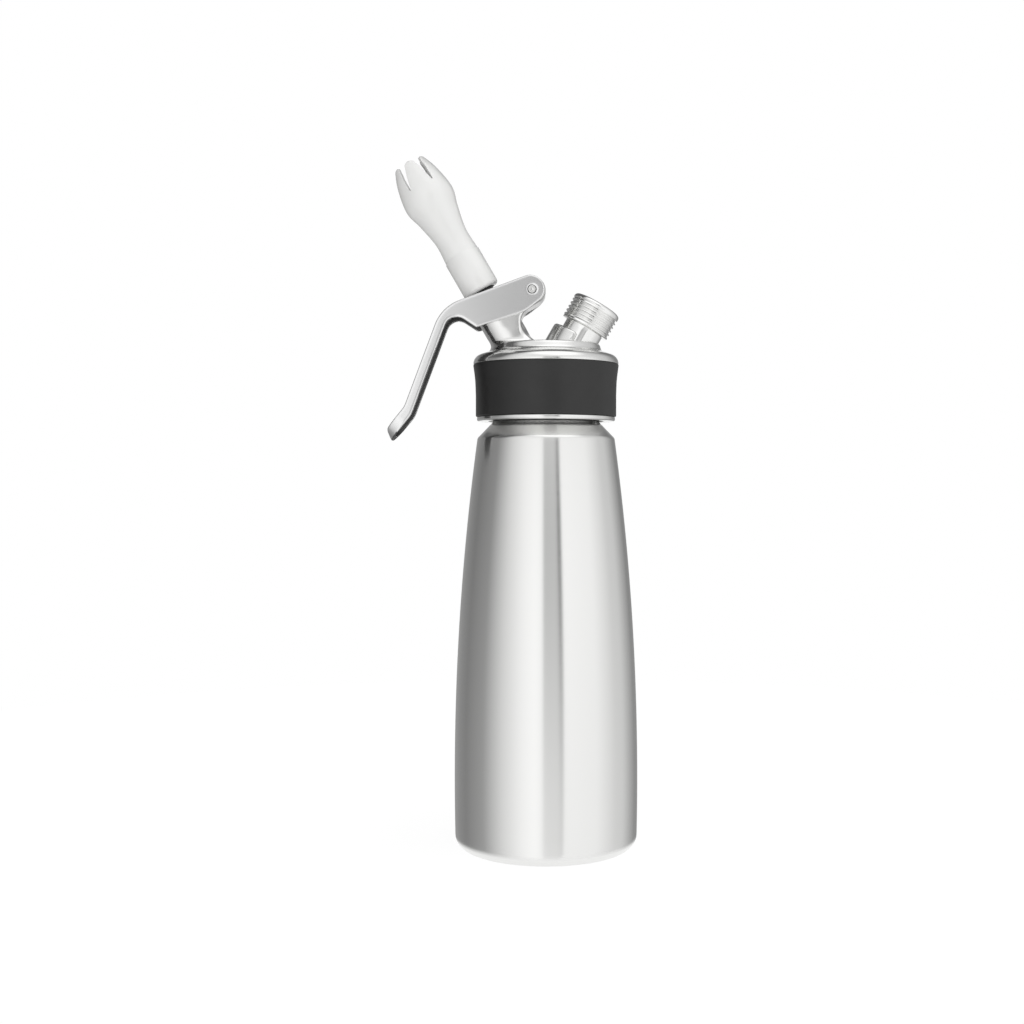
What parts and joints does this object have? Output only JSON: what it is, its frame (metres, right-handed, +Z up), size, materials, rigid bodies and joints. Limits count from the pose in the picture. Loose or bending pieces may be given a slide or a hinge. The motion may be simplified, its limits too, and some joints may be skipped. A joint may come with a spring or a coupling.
{
  "type": "whipped cream dispenser",
  "caption": "Steel cream whipper bottle with a screwed head, black grip band, squeeze lever, leaning charger connection and a white tulip decorator tip.",
  "frame": {"origin": "centre of the bottle's foot, on the surface that it stands on", "axes": "+Z up along the bottle; +X towards the charger connection, so the lever hangs on the -X side; +Y away from the picture's camera"},
  "size_m": [0.1207, 0.0886, 0.3367],
  "materials": {
    "brushed_bottle": "brushed round the axis",
    "turned_steel": "turned",
    "polished_steel": "polished",
    "satin_casting": "satin polished casting",
    "satin_lever": "satin polished",
    "spring_steel": "drawn wire",
    "sintered_bronze": "sintered, rough",
    "seal_rubber": "matte",
    "black_silicone": "matte moulded",
    "black_plastic": "moulded",
    "milky_plastic": "translucent milky, smooth"
  },
  "bodies": {
    "bottle": {"bottle_shell": "brushed_bottle", "bottle_neck_ring": "turned_steel"},
    "gasket": {"head_gasket": "seal_rubber"},
    "head": {"head_body": "satin_casting", "grip_band": "black_silicone", "valve_guide": "turned_steel", "guide_ring": "seal_rubber", "stem_ring": "seal_rubber", "lever_pin": "turned_steel", "charger_stub": "polished_steel", "charger_seal": "seal_rubber", "piercing_pin": "turned_steel", "gas_filter": "sintered_bronze", "check_disc": "seal_rubber", "check_screw": "turned_steel", "valve_spring": "spring_steel"},
    "lever": {"lever": "satin_lever"},
    "valve": {"valve_stem": "turned_steel", "valve_seal": "seal_rubber", "spring_cap": "turned_steel", "tip_adapter": "black_plastic"},
    "tip": {"decorator_tip": "milky_plastic"}
  },
  "joints": [
    {"name": "head_rise", "type": "slide", "parent": "bottle", "child": "gasket", "axis": [0, 0, 1], "range_m": [0, 0.0088]},
    {"name": "head_unscrew", "type": "hinge", "parent": "gasket", "child": "head", "pos_m": [0, 0, 0.2295], "axis": [0, 0, 1], "range_deg": [0, 900]},
    {"name": "lever_squeeze", "type": "hinge", "parent": "head", "child": "lever", "pos_m": [-0.00674, 0, 0.26936], "axis": [0, -1, 0], "range_deg": [0, 8], "stiffness_Nm_per_rad": 2, "springref_deg": -11.46, "deforming": ["valve_spring"]},
    {"name": "valve_press", "type": "slide", "parent": "head", "child": "valve", "axis": [0.5, 0, -0.866], "range_m": [0, 0.00295]},
    {"name": "tip_lift", "type": "slide", "parent": "valve", "child": "tip", "axis": [-0.5, 0, 0.866], "range_m": [0, 0.014]}
  ],
  "couplings": [
    {"joint": "head_rise", "follows": "head_unscrew", "m_per_rad": 0.00055704},
    {"joint": "valve_press", "follows": "lever_squeeze", "m_per_rad": 0.0208}
  ]
}
